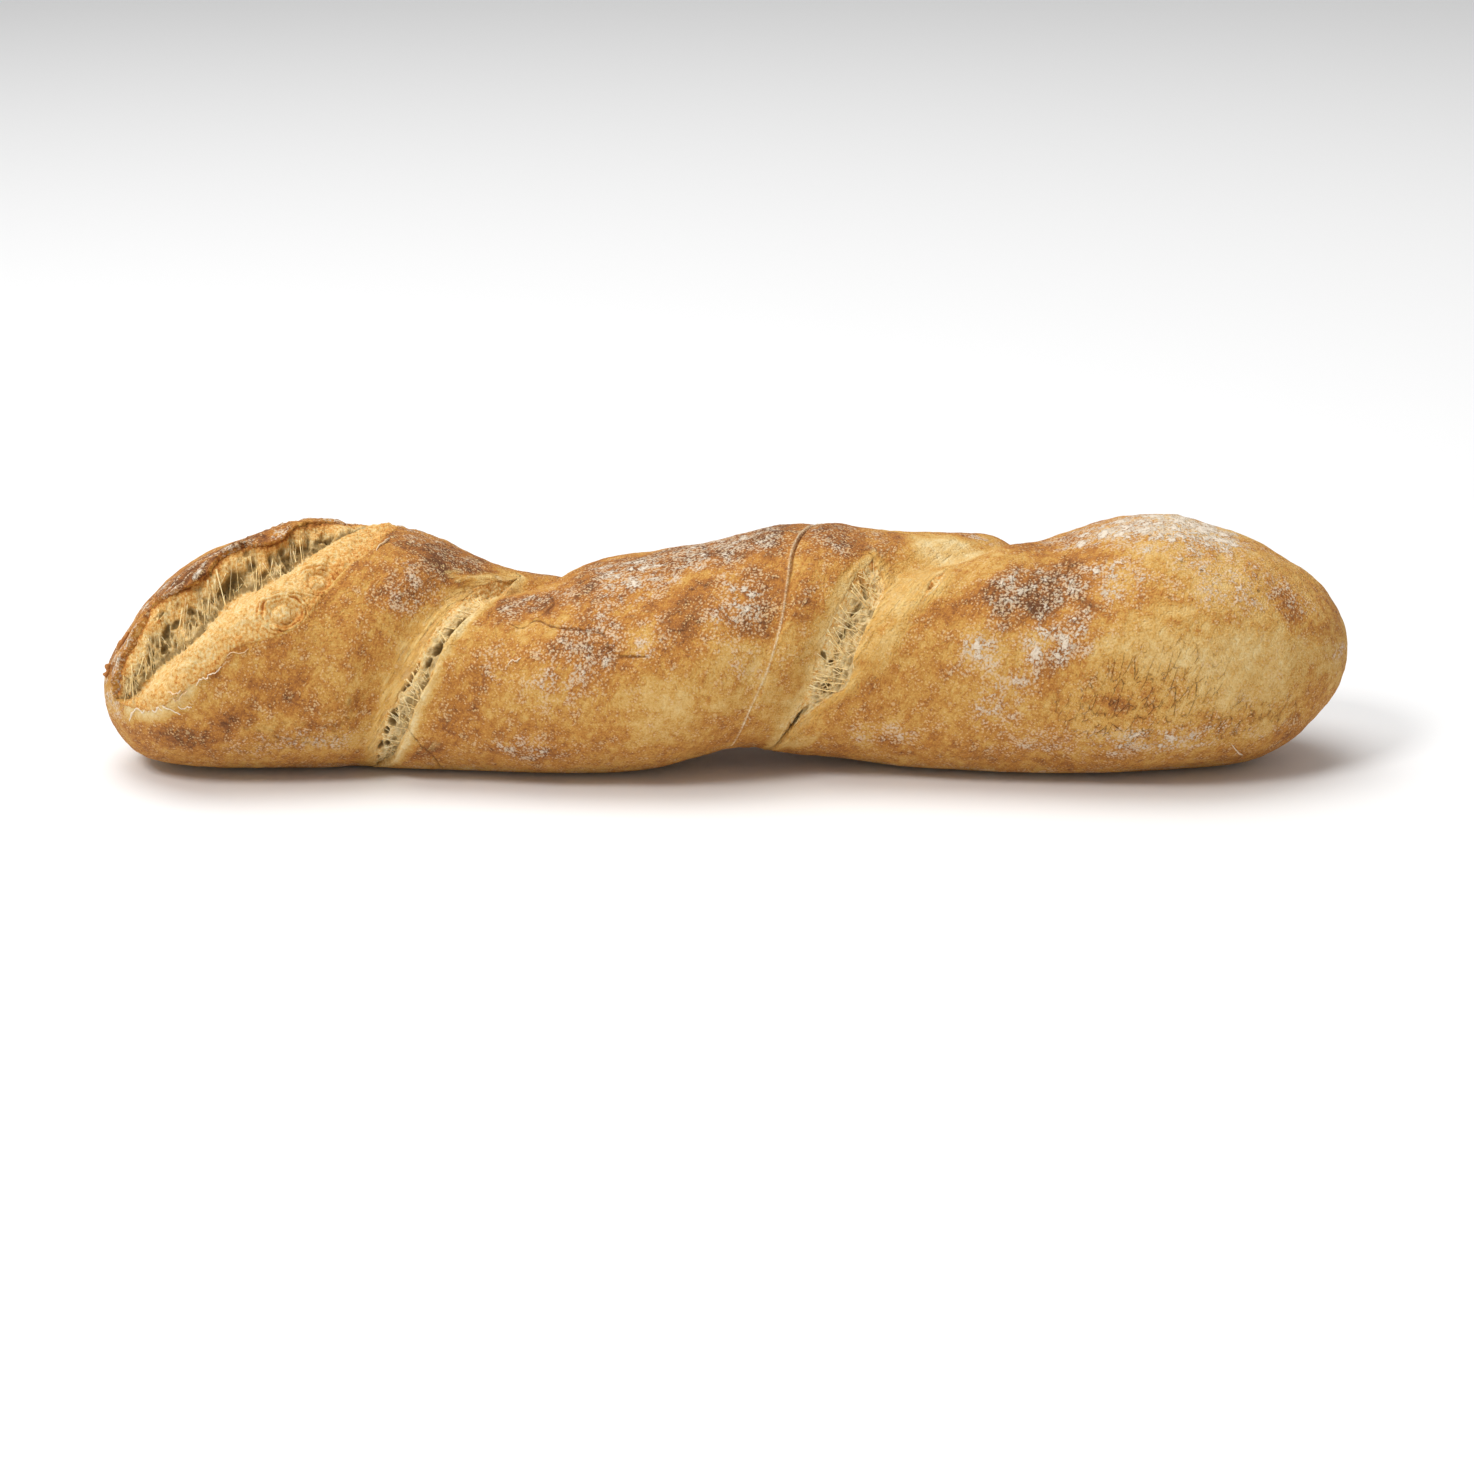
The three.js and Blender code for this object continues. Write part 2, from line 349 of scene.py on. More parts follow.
def is_inside(x, angle, upper, lower):
    """Whether each place is between two lines of the skin that meet at their ends."""
    outline = np.vstack([smooth_line(upper), smooth_line(lower)[::-1]])
    inside = np.zeros(len(x), bool)
    for (xa, ya), (xb, yb) in zip(outline, np.roll(outline, -1, axis=0)):
        if ya != yb:
            crossed = (ya > angle) != (yb > angle)
            inside ^= crossed & (x < xa + (angle - ya) * (xb - xa) / (yb - ya))
    return inside


def angle_round(points):
    """The angle round the loaf of places in mm, from -90 at the sole to 270."""
    turned = np.degrees(np.arctan2(points[:, 2] - axis_height(points[:, 0]), -points[:, 1]))
    return (turned + 90) % 360 - 90


class Opening:
    """A place where the crust has torn open, between an upper and a lower edge."""

    def __init__(self, upper, lower):
        self.flat = (upper, lower)
        self.upper = lay_line(upper)
        self.lower = lay_line(lower)

    def measure(self, points):
        """How far inside the opening each point is (negative outside), and whether its upper edge is the
        nearer one, with the reach from both edges."""
        from_upper = reach_from(points, self.upper)
        from_lower = reach_from(points, self.lower)
        inside = is_inside(points[:, 0], angle_round(points), *self.flat)
        inset = np.minimum(from_upper[0], from_lower[0]) * np.where(inside, 1, -1)
        return inset, from_upper[0] < from_lower[0], from_upper, from_lower


ear = Opening(EAR_RIM, EAR_SILL)
left_tear = Opening(LEFT_TEAR_OUTER, LEFT_TEAR_INNER)
right_tear = Opening(RIGHT_TEAR_OUTER, RIGHT_TEAR_INNER)
small_tear = Opening(SMALL_TEAR_OUTER, SMALL_TEAR_INNER)
openings = (ear, left_tear, right_tear, small_tear)
skin_seam = lay_line(SKIN_SEAM)
cracks = [lay_line(points) for points in CRACKS]

# The grain is made finer along the torn edges, the seam and the cracks.
edges_and_lines = [line for hole in openings for line in (hole.upper, hole.lower)]
for reach in FINER_WITHIN:
    crust_bm.verts.ensure_lookup_table()
    crust_bm.verts.index_update()
    places = np.array([v.co for v in crust_bm.verts]) / MILLIMETRE
    close = np.zeros(len(places), bool)
    for line in [*edges_and_lines, skin_seam, *cracks]:
        near_box = np.all((places > line.min(0) - reach) & (places < line.max(0) + reach), axis=1)
        close[near_box] |= reach_from(places[near_box], line)[0] < reach
    split = [e for e in crust_bm.edges if close[e.verts[0].index] and close[e.verts[1].index]]
    bmesh.ops.subdivide_edges(crust_bm, edges=split, cuts=1, use_grid_fill=True)
    bmesh.ops.triangulate(crust_bm, faces=[f for f in crust_bm.faces if len(f.verts) > 3])

crust_bm.normal_update()
places = np.array([v.co for v in crust_bm.verts]) / MILLIMETRE
normals = np.array([v.normal for v in crust_bm.verts])
angles = angle_round(places)
x_places = places[:, 0]
unrolled = MEAN_RADIUS * np.radians(angles)
drawn_along = x_places * math.cos(TWIST_TILT) + unrolled * math.sin(TWIST_TILT)
drawn_across = unrolled * math.cos(TWIST_TILT) - x_places * math.sin(TWIST_TILT)
drawn_out = on_sheet(drawn_along / 7, drawn_across)

# The dough is uneven, and it wrinkled along the way that it was drawn out.
lift = dough_lumps(places) + 0.1 * drum(2, places, 4)
tension = np.zeros(len(places))
for hole in (left_tear, right_tear):
    tension = np.maximum(tension, fading(-hole.measure(places)[0], 14))
wrinkles = drum(2.6, drawn_out, 5) + 0.6 * drum(1.3, drawn_out, 6)
lift += wrinkles * (0.14 + 0.3 * tension)

# The tears: the crust drops off at their edges, and its lips stand up. Where an edge is soft, the crust
# passes this far under the crumb first. For each: both lips' heights, both edges' softness, the depth.
torn = np.full(len(places), -99.0)
shift = np.zeros((len(places), 3))
TORN_EDGES = (
    (ear, (1.5, 0.0), (0.0, 1.0), 10.5),
    (left_tear, (0.0, 0.4), (1.4, 0.4), 8.5),
    (right_tear, (0.0, 0.35), (1.4, 0.2), 7.0),
    (small_tear, (0.0, 0.1), (0.5, 0.3), 4.5),
)
ragged = drum(3.0, places, 7) + 0.7 * drum(1.2, places, 8)
for hole, lips, softness, depth in TORN_EDGES:
    inset, upper_nearer, from_upper, from_lower = hole.measure(places)
    uneven = inset + 0.5 * ragged
    lip = np.where(upper_nearer, *lips) * (1 + 0.6 * ragged + 0.7 * drum(8, places, 10))
    if hole is ear:
        lip *= soft_step(-122, -140, x_places)
    stands = fading(-uneven - 0.4, 1.6) * soft_step(0.3, -0.2, uneven)
    under = np.where(upper_nearer, *softness)
    lift += lip * stands - depth * soft_step(under - 0.1, 1.6 * under + 0.7, uneven)
    towards = np.where(upper_nearer[:, None], from_upper[2], from_lower[2])
    towards /= np.maximum(np.linalg.norm(towards, axis=1), 0.05)[:, None]
    shift += towards * (0.4 * lip * stands * (inset < 0))[:, None]
    torn = np.maximum(torn, inset)

# The skin seam has a thin raised lip, and a groove behind it that opens towards the crown.
seam_gap, seam_along, seam_step = reach_from(places, skin_seam)
seam_side = -np.sign(seam_step[:, 0])
seam_open = soft_step(0.35, 0.6, seam_along) * soft_step(1.0, 0.72, seam_along)
seam_lip = bell(seam_gap * np.where(seam_side < 0, 1.0, 2.2), 0.36) * (1 + 0.6 * ragged)
lift += (0.06 + 0.3 * seam_open) * seam_lip
groove = bell(seam_gap * seam_side - 0.55 - 0.1 * seam_open, 0.3 + 0.12 * seam_open)
lift -= (0.2 + 1.3 * seam_open) * groove

# Cracks in the crust, and the ring wrinkles in the floury skin under the ear.
crack_and_fold_shade = np.zeros(len(places))
for line in cracks:
    gap, along, _ = reach_from(places, line)
    gap = gap + 0.35 * ragged * (gap < 4)
    mark = bell(gap, 0.25) * soft_step(0, 0.1, along) * soft_step(1, 0.8, along)
    crack_and_fold_shade = np.maximum(crack_and_fold_shade, mark)
lift -= 0.4 * crack_and_fold_shade
ring_heart, _ = on_skin(-128, 2)
ring_reach = np.linalg.norm(places - ring_heart, axis=1)
ring_waves = np.sin(2 * np.pi * (ring_reach + 0.8 * drum(9, places, 9)) / 1.9)
below_heart = soft_step(-1, -6, places[:, 2] - ring_heart[2])
ring_zone = soft_step(11, 14, ring_reach) * soft_step(24, 20, ring_reach) * below_heart * (places[:, 1] < 0)
lift += 0.24 * ring_waves * ring_zone
ring_folds = ring_zone * soft_step(-0.5, -0.95, ring_waves) * soft_step(-0.2, 0.3, drum(4, places, 15))
# Painted shade: the troughs of the ring wrinkles are darkened as the cracks are.
crack_and_fold_shade = np.maximum(crack_and_fold_shade, 0.6 * ring_folds)

# The crust folded in slanting creases above the ear's rim, where it was pushed up.
slant = math.radians(66)
slanted = (x_places * math.sin(slant) - unrolled * math.cos(slant)) / 1.3
rim_streaks = drum(1.0, on_sheet(slanted, (unrolled + 0.4 * x_places) / 9), 14)
rim_gap = reach_from(places, ear.upper)[0]
above_rim = fading(rim_gap - 7.0, 6.0) * (torn < 0) * (angles > 4)
lift += (0.8 * rim_streaks + 0.7 * drum(4, places, 16) * bell(rim_gap, 6.0)) * above_rim

# The sole stays as flat as the dough's own weight pressed it.
lift *= soft_step(0.2, 4, places[:, 2])
moved = places + normals * lift[:, None] + shift
moved[:, 2] = np.maximum(moved[:, 2], 0)
for vert, place in zip(crust_bm.verts, moved * MILLIMETRE):
    vert.co = place
bmesh.ops.recalc_face_normals(crust_bm, faces=crust_bm.faces)


def oval_reach(beside, turned, half_length, half_width, tilt):
    """How far places are from an oval's middle, 1 at its edge. They are given as mm along the loaf and
    degrees round it from that middle."""
    rise = MEAN_RADIUS * np.radians(turned)
    c, s = math.cos(math.radians(tilt)), math.sin(math.radians(tilt))
    return np.hypot((beside * c + rise * s) / half_length, (rise * c - beside * s) / half_width)


def paint_patches(start, patches, x, angle, roughen):
    """Soft-edged patches of tone, painted one over another."""
    tone = start.copy()
    for along_loaf, turn, *oval, value in patches:
        reach = oval_reach(x - along_loaf, (angle - turn + 180) % 360 - 180, *oval)
        tone += (value - tone) * soft_step(1.35, 0.45, reach + roughen)
    return tone


def store(mesh, name, values):
    layer = mesh.attributes.new(name, "FLOAT", "POINT")
    layer.data.foreach_set("value", np.asarray(values, np.float32))


def corners_of(mesh):
    """The vert at each corner of each face."""
    corners = np.zeros(len(mesh.loops), int)
    mesh.loops.foreach_get("vertex_index", corners)
    return corners


def lay_out(mesh, drawn):
    """The UV map, in centimetres, from a place in mm for each corner."""
    mesh.uv_layers.new(name="drawn").data.foreach_set("uv", drawn.ravel() / 10)


# The patches that the front shows go on round the back, at random.
luck = random.Random(7)
toast_patches = list(TOAST_PATCHES)
flour_patches = list(FLOUR_PATCHES)
for _ in range(BACK_PATCHES):
    spot = (luck.uniform(-180, 180), luck.uniform(118, 235), luck.uniform(9, 22), luck.uniform(4, 9), 62)
    toast_patches.insert(0, (*spot, luck.uniform(0.35, 0.8)))
    spot = (luck.uniform(-180, 180), luck.uniform(118, 235), luck.uniform(9, 20), luck.uniform(4, 9), 62)
    flour_patches.insert(0, (*spot, luck.uniform(0.1, 0.75)))

blur = 0.3 * drum(7, places, 11) + 0.2 * drum(3, drawn_out, 12)
plain = np.full(len(places), 0.52)
toast_and_painted_light = paint_patches(plain, toast_patches, x_places, angles, blur)
flour_and_painted_light = paint_patches(0 * plain + 0.12, flour_patches, x_places, angles, 0.3 * drum(6, places, 13))
from_ear = ear.measure(places)
# Painted shade: the crust is made a little browner low down, where less light reaches it.
toast_and_painted_light += 0.08 * soft_step(36, 10, places[:, 2])
# The edge of the sole is made paler and floury: partly flour, and partly painted light for the light thrown
# up from below.
low_rim = soft_step(7, 1.5, places[:, 2])
toast_and_painted_light += (0.5 - toast_and_painted_light) * low_rim
flour_and_painted_light += (0.5 - flour_and_painted_light) * low_rim
outside_rim = fading(rim_gap - 13.0, 9.0) * (torn < 0.3) * (from_ear[0] < 0)
outside_rim *= soft_step(-4, 6, angles)
far_end = soft_step(-138, -126, x_places)
near_tip = soft_step(-172, -182, x_places)
toast_and_painted_light += (0.84 - 0.2 * far_end - 0.18 * near_tip + 0.15 * ragged - toast_and_painted_light) * outside_rim
toast_and_painted_light += (0.6 - toast_and_painted_light) * bell(rim_gap + 0.5 * ragged, 0.7) * (torn < 0.1) * 0.6 * (1 - far_end)
rim_flour = np.clip(0.4 + 1.8 * rim_streaks, 0, 0.75)
flour_and_painted_light += (rim_flour - flour_and_painted_light) * outside_rim * soft_step(0.0, 1.2, rim_gap + 0.5 * ragged)
below_sill = fading(-from_ear[0] - 0.3, 3.0) * (rim_gap > 6)
toast_and_painted_light += (0.12 - toast_and_painted_light) * below_sill * soft_step(-150, -162, x_places)
toast_and_painted_light += (0.68 - toast_and_painted_light) * below_sill * soft_step(-160, -150, x_places) * 0.8
from_tears = np.maximum.reduce([hole.measure(places)[0] for hole in (left_tear, right_tear, small_tear)])
toast_and_painted_light += (0.2 - toast_and_painted_light) * fading(-from_tears - 0.4, 1.6) * 0.7
from_pale_lip = reach_from(places, left_tear.lower)[0]
pale_lip = fading(from_pale_lip - 0.3, 1.7 + 0.5 * ragged)
pale_lip *= soft_step(75, 50, angles)
pale_lip *= soft_step(-58, -40, angles)
toast_and_painted_light += (0.14 - toast_and_painted_light) * pale_lip * (left_tear.measure(places)[0] < 0)
browner = bell(seam_gap - 2.0, 3.5) * (seam_side < 0) * bell(seam_along - 0.6, 0.25)
toast_and_painted_light += (0.72 - toast_and_painted_light) * 0.6 * browner
toast_and_painted_light[torn > 0.5] = 0.2
toast_and_painted_light[from_ear[0] > 0.3] = 0.45
flour_and_painted_light[torn > 0.5] = 0
flour_and_painted_light *= 1 - fading(-from_tears, 4.0)
stretch = paint_patches(0 * toast_and_painted_light, STRETCHED_PATCHES, x_places, angles, blur)
for hole, on_outer_side in ((left_tear, True), (right_tear, False), (small_tear, False)):
    inset, outer_nearer = hole.measure(places)[:2]
    beside = fading(-inset - 0.5, 3.0) * (outer_nearer == on_outer_side)
    stretch = np.maximum(stretch, 0.75 * beside)
stretch *= 1 - pale_lip
pores = paint_patches(0 * toast_and_painted_light, PORE_PATCHES, x_places, angles, blur)
crinkles = paint_patches(0 * toast_and_painted_light, CRINKLED_PATCHES, x_places, angles, blur)

crust_bm.to_mesh(crust_mesh)
crust_bm.free()
crust_mesh.polygons.foreach_set("use_smooth", [True] * len(crust_mesh.polygons))
white_edge = seam_open * bell(seam_gap + 0.15 * ragged, 0.36) * (seam_side < 0)
crust_tones = {
    "toast_and_painted_light": toast_and_painted_light,
    "flour_and_painted_light": flour_and_painted_light,
    "stretch": stretch,
    "pores": pores,
    "crinkles": crinkles,
    # Painted shade in the seam's groove joins the cracks and the ring wrinkles' troughs.
    "crack_and_groove_shade": np.maximum(crack_and_fold_shade, groove * seam_open),
    "pale_lip": np.maximum(seam_lip, white_edge),
}
for label, values in crust_tones.items():
    store(crust_mesh, label, values)

# The UV map is the unrolled skin, in centimetres along and across the way that the dough was drawn out.
corners = corners_of(crust_mesh)
corner_turn = angles[corners].reshape(-1, 3)
corner_turn += np.where(corner_turn.max(1, keepdims=True) - corner_turn > 180, 360, 0)
corner_unrolled = MEAN_RADIUS * np.radians(corner_turn.ravel())
corner_x = x_places[corners]
lay_out(crust_mesh, np.column_stack([
    corner_x * math.cos(TWIST_TILT) + corner_unrolled * math.sin(TWIST_TILT),
    corner_unrolled * math.cos(TWIST_TILT) - corner_x * math.sin(TWIST_TILT),
]))


def linear(red, green, blue):
    """A screen colour, in 0 to 255 steps, as the linear colour that a shader takes."""
    shares = (np.array([red, green, blue]) / 255) ** 2.2
    return (*shares, 1.0)


class Paint:
    """A material whose nodes are added one after another."""

    def __init__(self, name):
        self.material = bpy.data.materials.new(name)
        self.material.use_nodes = True
        self.tree = self.material.node_tree
        self.shader = self.tree.nodes["Principled BSDF"]

    def feed(self, socket, value):
        if isinstance(value, bpy.types.NodeSocket):
            self.tree.links.new(value, socket)
        else:
            socket.default_value = value

    def add(self, kind, feeds=(), **settings):
        made = self.tree.nodes.new(kind)
        for name, value in settings.items():
            setattr(made, name, value)
        for name, value in dict(feeds).items():
            self.feed(made.inputs[name], value)
        return made

    def attribute(self, name):
        return self.add("ShaderNodeAttribute", attribute_name=name).outputs["Fac"]

    def place(self):
        return self.add("ShaderNodeTexCoord").outputs["Object"]

    def drawn(self, along, across):
        """The unrolled skin's coordinates, with this many noise lumps in a centimetre each way."""
        unrolled_place = self.add("ShaderNodeUVMap", uv_map="drawn").outputs["UV"]
        scales = {0: unrolled_place, 1: (along, across, 1.0)}
        return self.add("ShaderNodeVectorMath", scales, operation="MULTIPLY").outputs[0]

    def noise(self, vector, scale=1.0, detail=2.0, roughness=0.5):
        feeds = {"Vector": vector, "Scale": scale, "Detail": detail, "Roughness": roughness}
        return self.add("ShaderNodeTexNoise", feeds).outputs["Fac"]

    def cells(self, vector, scale, feature="F1"):
        feeds = {"Vector": vector, "Scale": scale}
        return self.add("ShaderNodeTexVoronoi", feeds, feature=feature).outputs["Distance"]

    def maths(self, operation, *values):
        return self.add("ShaderNodeMath", dict(enumerate(values)), operation=operation).outputs[0]

    def times(self, first, second):
        return self.maths("MULTIPLY", first, second)

    def spread(self, value, low, high, to_low=0.0, to_high=1.0):
        feeds = {"Value": value, "From Min": low, "From Max": high, "To Min": to_low, "To Max": to_high}
        return self.add("ShaderNodeMapRange", feeds, interpolation_type="SMOOTHSTEP").outputs[0]

    def weigh(self, start, *pairs):
        """The start value plus each noise, less its middle of 0.5, times its weight."""
        total = start
        for value, weight in pairs:
            swing = self.maths("MULTIPLY_ADD", value, weight, -0.5 * weight)
            total = self.maths("ADD", total, swing)
        return total

    def ramp(self, factor, stops):
        made = self.add("ShaderNodeValToRGB", {"Fac": factor})
        elements = made.color_ramp.elements
        while len(elements) < len(stops):
            elements.new(0.5)
        for element, (position, colour) in zip(elements, stops):
            element.position = position
            element.color = linear(*colour)
        return made.outputs["Color"]

    def cover(self, factor, over):
        """Lays a colour over the colour so far, as thickly as the factor says."""
        made = self.add("ShaderNodeMix", data_type="RGBA")
        for place, value in zip((0, 6, 7), (factor, self.colour, over)):
            self.feed(made.inputs[place], value)
        self.colour = made.outputs[2]

    def bump(self, height, distance, normal=None):
        made = self.add("ShaderNodeBump", {"Height": height, "Distance": distance, "Strength": 1.0})
        if normal:
            self.feed(made.inputs["Normal"], normal)
        return made.outputs["Normal"]

    def surface(self, feeds):
        """Sets the sockets of the shader itself."""
        for name, value in feeds.items():
            self.feed(self.shader.inputs[name], value)


paint = Paint("crust")
at = paint.place()
lumps = paint.noise(at, 75, 3)
mottle = paint.noise(at, 300, 3, 0.6)
speckle = paint.noise(at, 1500, 2, 0.7)
streaks = paint.noise(paint.drawn(0.9, 7.0), 1.0, 3, 0.6)
# The baking tone, which also carries the painted shade low down and the painted light at the sole's edge.
baked = paint.weigh(
    paint.attribute("toast_and_painted_light"), (lumps, 0.55), (mottle, 0.6), (speckle, 0.6), (streaks, 0.35),
)
paint.colour = paint.ramp(baked, [
    (0.0, (240, 214, 158)), (0.25, (226, 186, 116)), (0.45, (210, 158, 80)), (0.62, (188, 124, 56)),
    (0.78, (156, 98, 50)), (0.95, (108, 68, 40)),
])
stretched = paint.weigh(paint.attribute("stretch"), (streaks, 1.4), (mottle, 0.4))
paint.cover(paint.spread(stretched, 0.25, 0.95, 0.0, 0.8), paint.ramp(streaks, [
    (0.36, (186, 123, 51)), (0.5, (220, 165, 80)), (0.64, (238, 201, 127)),
]))
# The flour, which also carries the painted light at the sole's edge.
floury_and_painted_light = paint.attribute("flour_and_painted_light")
clumps = paint.noise(at, 170, 3, 0.6)
heaps = paint.noise(at, 300, 2, 0.6)
grains = paint.noise(at, 1700, 2, 0.8)
specks = paint.cells(at, 1100)
dusted = paint.weigh(floury_and_painted_light, (clumps, 1.7), (heaps, 1.0), (grains, 2.6), (specks, -1.5), (streaks, 1.0))
thick_flour = paint.weigh(floury_and_painted_light, (clumps, 0.8), (heaps, 0.5))
paint.cover(paint.spread(dusted, 0.36, 0.9, 0.0, 0.8), paint.ramp(thick_flour, [
    (0.2, (230, 192, 132)), (0.5, (226, 194, 154)), (0.95, (238, 222, 196)),
]))
heaped = paint.weigh(floury_and_painted_light, (clumps, 2.0), (heaps, 3.6), (grains, 1.8), (specks, -0.6))
heaped = paint.times(paint.spread(heaped, 0.85, 1.25, 0.0, 0.85), paint.spread(floury_and_painted_light, 0.26, 0.7))
blisters = paint.spread(paint.cells(at, 270), 0.24, 0.12)
blisters = paint.times(blisters, paint.spread(mottle, 0.5, 0.62, 0.0, 0.5))
paint.cover(blisters, linear(236, 202, 148))
# Painted shade: the pinholes are dark dots of colour, with no hollow made for them.
holes = paint.times(paint.spread(paint.cells(at, 190), 0.16, 0.1), paint.attribute("pores"))
holes = paint.times(holes, paint.spread(lumps, 0.45, 0.55, 0.0, 0.85))
paint.cover(holes, linear(112, 76, 36))
# Painted shade: the creases of the finely crinkled skin are darkened, as well as pressed in by the bump.
folded = paint.cells(paint.drawn(1.7, 4.6), 1.0, "DISTANCE_TO_EDGE")
folded = paint.spread(paint.weigh(folded, (mottle, 0.12)), 0.07, 0.0)
folded = paint.times(folded, paint.spread(heaps, 0.4, 0.6))
folded = paint.times(folded, paint.attribute("crinkles"))
paint.cover(paint.times(folded, 0.45), linear(150, 100, 46))
paint.cover(heaped, linear(240, 224, 202))
lip_flour = paint.times(paint.attribute("pale_lip"), paint.spread(grains, 0.35, 0.6, 0.25, 0.95))
paint.cover(lip_flour, linear(244, 222, 184))
# Dark lines along the cracks, and painted shade in the seam's groove and in the troughs of the ring
# wrinkles.
paint.cover(paint.times(paint.attribute("crack_and_groove_shade"), 0.85), linear(110, 64, 28))
rough_skin = paint.bump(paint.weigh(speckle, (mottle, 1.4), (heaped, 0.4)), 0.0008)
rough_skin = paint.bump(paint.times(streaks, paint.attribute("stretch")), 0.0014, rough_skin)
rough_skin = paint.bump(paint.times(folded, -1.0), 0.0005, rough_skin)
paint.surface({
    "Base Color": paint.colour, "Roughness": 0.78, "Specular IOR Level": 0.28, "Normal": rough_skin,
})
crust_mesh.materials.append(paint.material)

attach(crust, "root")
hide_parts("loaf")

# ----------------------------------------------------------------------------------------------------
# The crumb in the ear. The slit crust lifted as a flap, so a wall of torn, airy crumb shows under it. At
# its foot the dough swelled out through the slit, and dried to a pale, grainy skin.

EAR_CAVITIES = [
    (-149.0, 54.5, 6.4, 2.3, 50, 4.6), (-156.6, 29.5, 1.7, 1.3, 60, 3.4), (-139.1, 61.5, 2.6, 1.2, 45, 2.4),
    (-132.4, 72.5, 2.6, 1.7, 60, 2.8), (-128.7, 81.0, 3.2, 1.4, 55, 2.8), (-123.4, 90.5, 5.0, 1.5, 55, 3.4),
    (-169.0, 33.0, 2.8, 1.2, 70, 3.6), (-166.0, 36.0, 2.2, 1.3, 50, 3.2), (-170.3, 25.0, 1.9, 1.0, 66, 2.8),
    (-174.5, 20.5, 2.8, 1.0, 75, 3.0), (-179.3, 8.0, 2.4, 1.1, 80, 2.6), (-145.0, 69.0, 1.5, 1.2, 60, 1.6),
    (-146.9, 65.0, 1.3, 0.8, 60, 0.8), (-142.8, 64.0, 2.2, 1.2, 50, 1.4), (-134.6, 74.5, 1.8, 1.0, 60, 1.2),
    (-161.8, 42.0, 1.8, 1.2, 70, 1.8), (-171.5, 42.0, 2.0, 1.1, 70, 1.8), (-137.5, 70.0, 2.0, 1.0, 60, 0.9),
]
SWIRL = (-130.2, 32.5, 5.4)
SECOND_SWIRL = (-120.6, 49.0, 4.6)
EAR_GRAIN = 0.36
EAR_CRUMB_DEPTH = 16.0
EDGE_OVERLAP = 1.6
ABOVE_SOLE = 0.0008


def torn_patch(opening, grain):
    """A grid over an opening that passes a little way under its edges. Gives the mesh, and for each vert its
    place and normal on the plain skin, how far along the opening it is and how far across, in mm."""
    upper, lower = (smooth_line(line, 12) for line in opening.flat)
    scale = (1, MEAN_RADIUS * math.radians(1))

    def evenly(line, shares):
        steps = np.concatenate([[0], np.cumsum(np.linalg.norm(np.diff(line, axis=0) * scale, axis=1))])
        return np.column_stack([np.interp(shares * steps[-1], steps, line[:, i]) for i in range(2)])

    probe = np.linspace(0, 1, 60)
    tops, bottoms = evenly(upper, probe), evenly(lower, probe)
    length = np.linalg.norm(np.diff((tops + bottoms) / 2, axis=0) * scale, axis=1).sum()
    width = np.linalg.norm((tops - bottoms) * scale, axis=1).max() + 2 * EDGE_OVERLAP
    bm = bmesh.new()
    bmesh.ops.create_grid(bm, x_segments=int(length / grain), y_segments=int(width / grain), size=0.5)
    square = np.array([v.co for v in bm.verts])
    shares, across = square[:, 0] + 0.5, square[:, 1] * 2
    tops, bottoms = evenly(upper, shares), evenly(lower, shares)
    middle, half = (tops + bottoms) / 2, (tops - bottoms) / 2 * scale
    reach = np.linalg.norm(half, axis=1)
    bend = np.gradient(evenly((evenly(upper, probe) + evenly(lower, probe)) / 2, probe), axis=0) * scale
    run = np.column_stack([np.interp(shares, probe, bend[:, i]) for i in range(2)])
    sideways = np.column_stack([-run[:, 1], run[:, 0]]) / np.linalg.norm(run, axis=1)[:, None]
    sideways *= np.sign(np.sum(sideways * half, axis=1) + 1e-9)[:, None]
    aim = half + sideways * EDGE_OVERLAP
    flat = middle + aim * across[:, None] / scale
    skin = [on_skin(x, angle) for x, angle in flat]
    points = np.array([place for place, _ in skin])
    facing = np.array([normal for _, normal in skin])
    return bm, points, facing, shares * length, across * np.linalg.norm(aim, axis=1), flat


def pit(flat, spot, roughen):
    """How deep inside an oval hollow each place is, from 0 at its edge to 1 at its middle."""
    x, angle, *oval, _ = spot
    reach = oval_reach(flat[:, 0] - x, flat[:, 1] - angle, *oval)
    return soft_step(1.15, 0.45, reach + roughen)


def cell_walls(size, points, seed):
    """1 in the middle of each air cell of torn crumb, and 0 on the walls between the cells."""
    away = Vector((seed * 11.1, seed * 5.7, seed * 3.3))
    gaps = [noise.voronoi(Vector(p) / size + away)[0][:2] for p in points]
    return soft_step(0.02, 0.5, np.array([far - near for near, far in gaps]))


def close_patch(bm, points, facing, height, thickness):
    """Moves the grid's verts to their height over the plain skin and closes the piece underneath."""
    for vert, point, normal, raised in zip(bm.verts, points, facing, height):
        vert.co = (point + normal * raised) * MILLIMETRE
        vert.co.z = max(vert.co.z, ABOVE_SOLE)
    inwards = {v: Vector(n) for v, n in zip(bm.verts, facing)}
    rim = [e for e in bm.edges if e.is_boundary]
    grown = bmesh.ops.extrude_edge_only(bm, edges=rim)
    skirt = [v for v in grown["geom"] if isinstance(v, bmesh.types.BMVert)]
    for vert in skirt:
        above = next(e.other_vert(vert) for e in vert.link_edges if e.other_vert(vert) in inwards)
        vert.co -= inwards[above] * thickness * MILLIMETRE
        vert.co.z = max(vert.co.z, ABOVE_SOLE / 2)
    bmesh.ops.contextual_create(bm, geom=[e for e in bm.edges if e.is_boundary])
    bmesh.ops.recalc_face_normals(bm, faces=bm.faces)
    bmesh.ops.triangulate(bm, faces=bm.faces)


